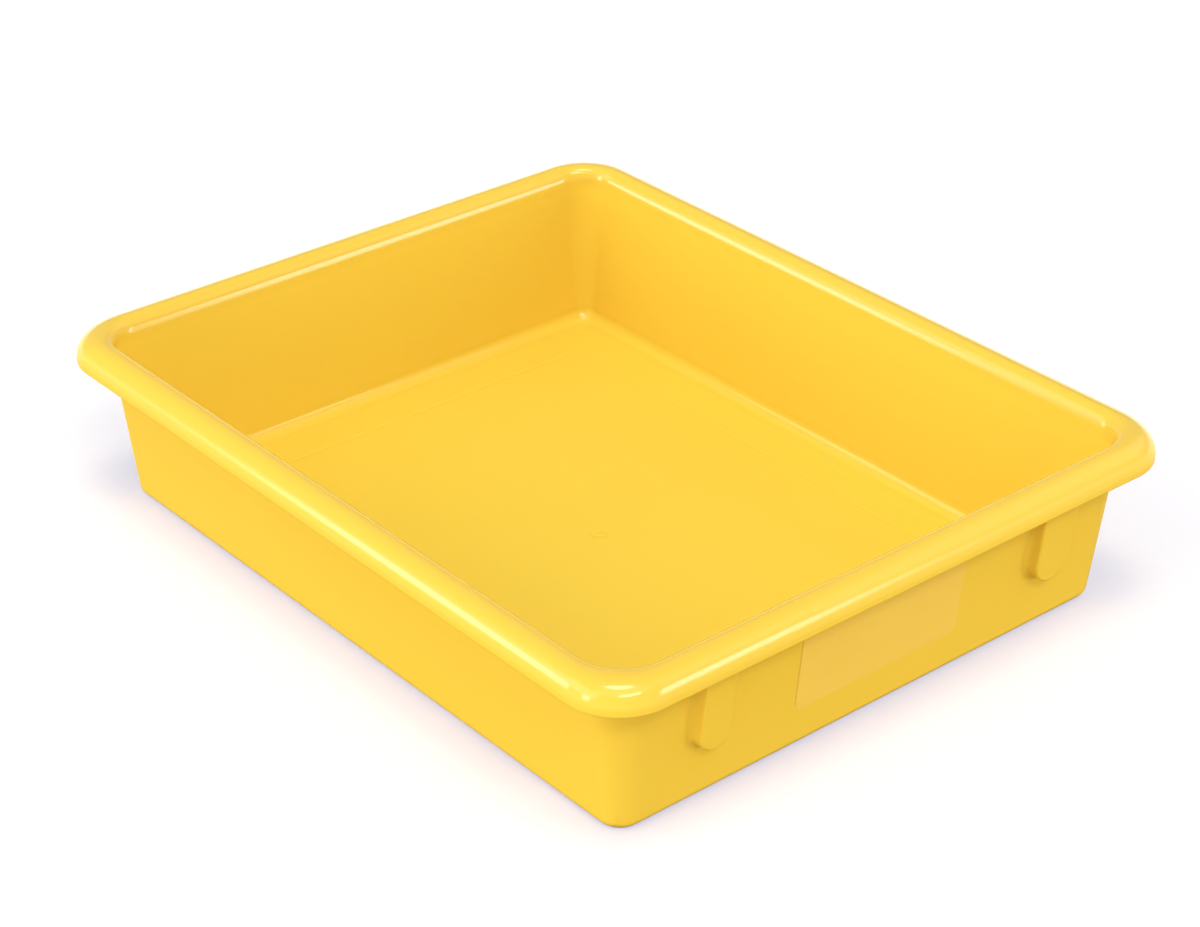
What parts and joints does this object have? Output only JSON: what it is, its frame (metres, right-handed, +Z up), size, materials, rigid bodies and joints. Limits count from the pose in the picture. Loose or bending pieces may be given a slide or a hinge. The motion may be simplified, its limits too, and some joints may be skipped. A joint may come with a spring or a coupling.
{
  "type": "developing tray",
  "caption": "Shallow rectangular moulded plastic tray with drafted walls, a rolled rim turned down into a lip, stacking ribs and a stuck-on label.",
  "frame": {"origin": "middle of the resting face, on the surface that the tray stands on", "axes": "+Z up; +Y along the long sides, away from the front wall; +X along the short sides; the front wall, with the ribs and the label, faces -Y"},
  "size_m": [0.2784, 0.3428, 0.0721],
  "materials": {
    "tray_body": "glossy yellow polypropylene",
    "label_panel": "satin translucent film over the yellow wall"
  },
  "bodies": {
    "root": {"tray_body": "tray_body", "label_panel": "label_panel"}
  },
  "joints": []
}
